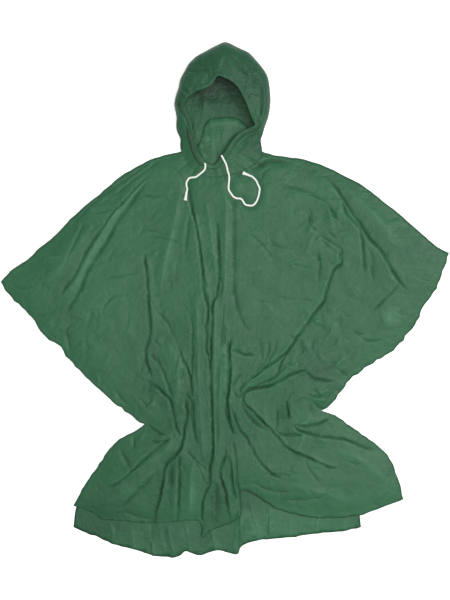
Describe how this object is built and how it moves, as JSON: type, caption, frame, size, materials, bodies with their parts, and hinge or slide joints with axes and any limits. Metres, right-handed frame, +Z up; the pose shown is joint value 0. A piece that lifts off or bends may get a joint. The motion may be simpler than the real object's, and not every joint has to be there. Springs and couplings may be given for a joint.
{
  "type": "rain poncho",
  "caption": "Hooded pull-on rain poncho of thin green plastic sheet, laid out flat face up, with a white drawcord at the throat.",
  "frame": {"origin": "centre of the outline box, on the surface that the poncho lies on", "axes": "+Z up from the surface, out of the front of the garment; +Y from the hem to the hood, the garment's length; +X across the shoulders to the right as seen from above"},
  "size_m": [1.12, 1.2842, 0.052],
  "materials": {
    "green_pvc_sheet": "thin matte-satin PVC sheet",
    "white_braided_cord": "braided cotton or polyester",
    "white_plastic_end": "moulded, satin"
  },
  "bodies": {
    "root": {"back_panel": "green_pvc_sheet", "front_panel": "green_pvc_sheet", "hood": "green_pvc_sheet", "cord_left": "white_braided_cord", "cord_left_end": "white_plastic_end", "cord_right": "white_braided_cord", "cord_right_end": "white_plastic_end"}
  },
  "joints": []
}
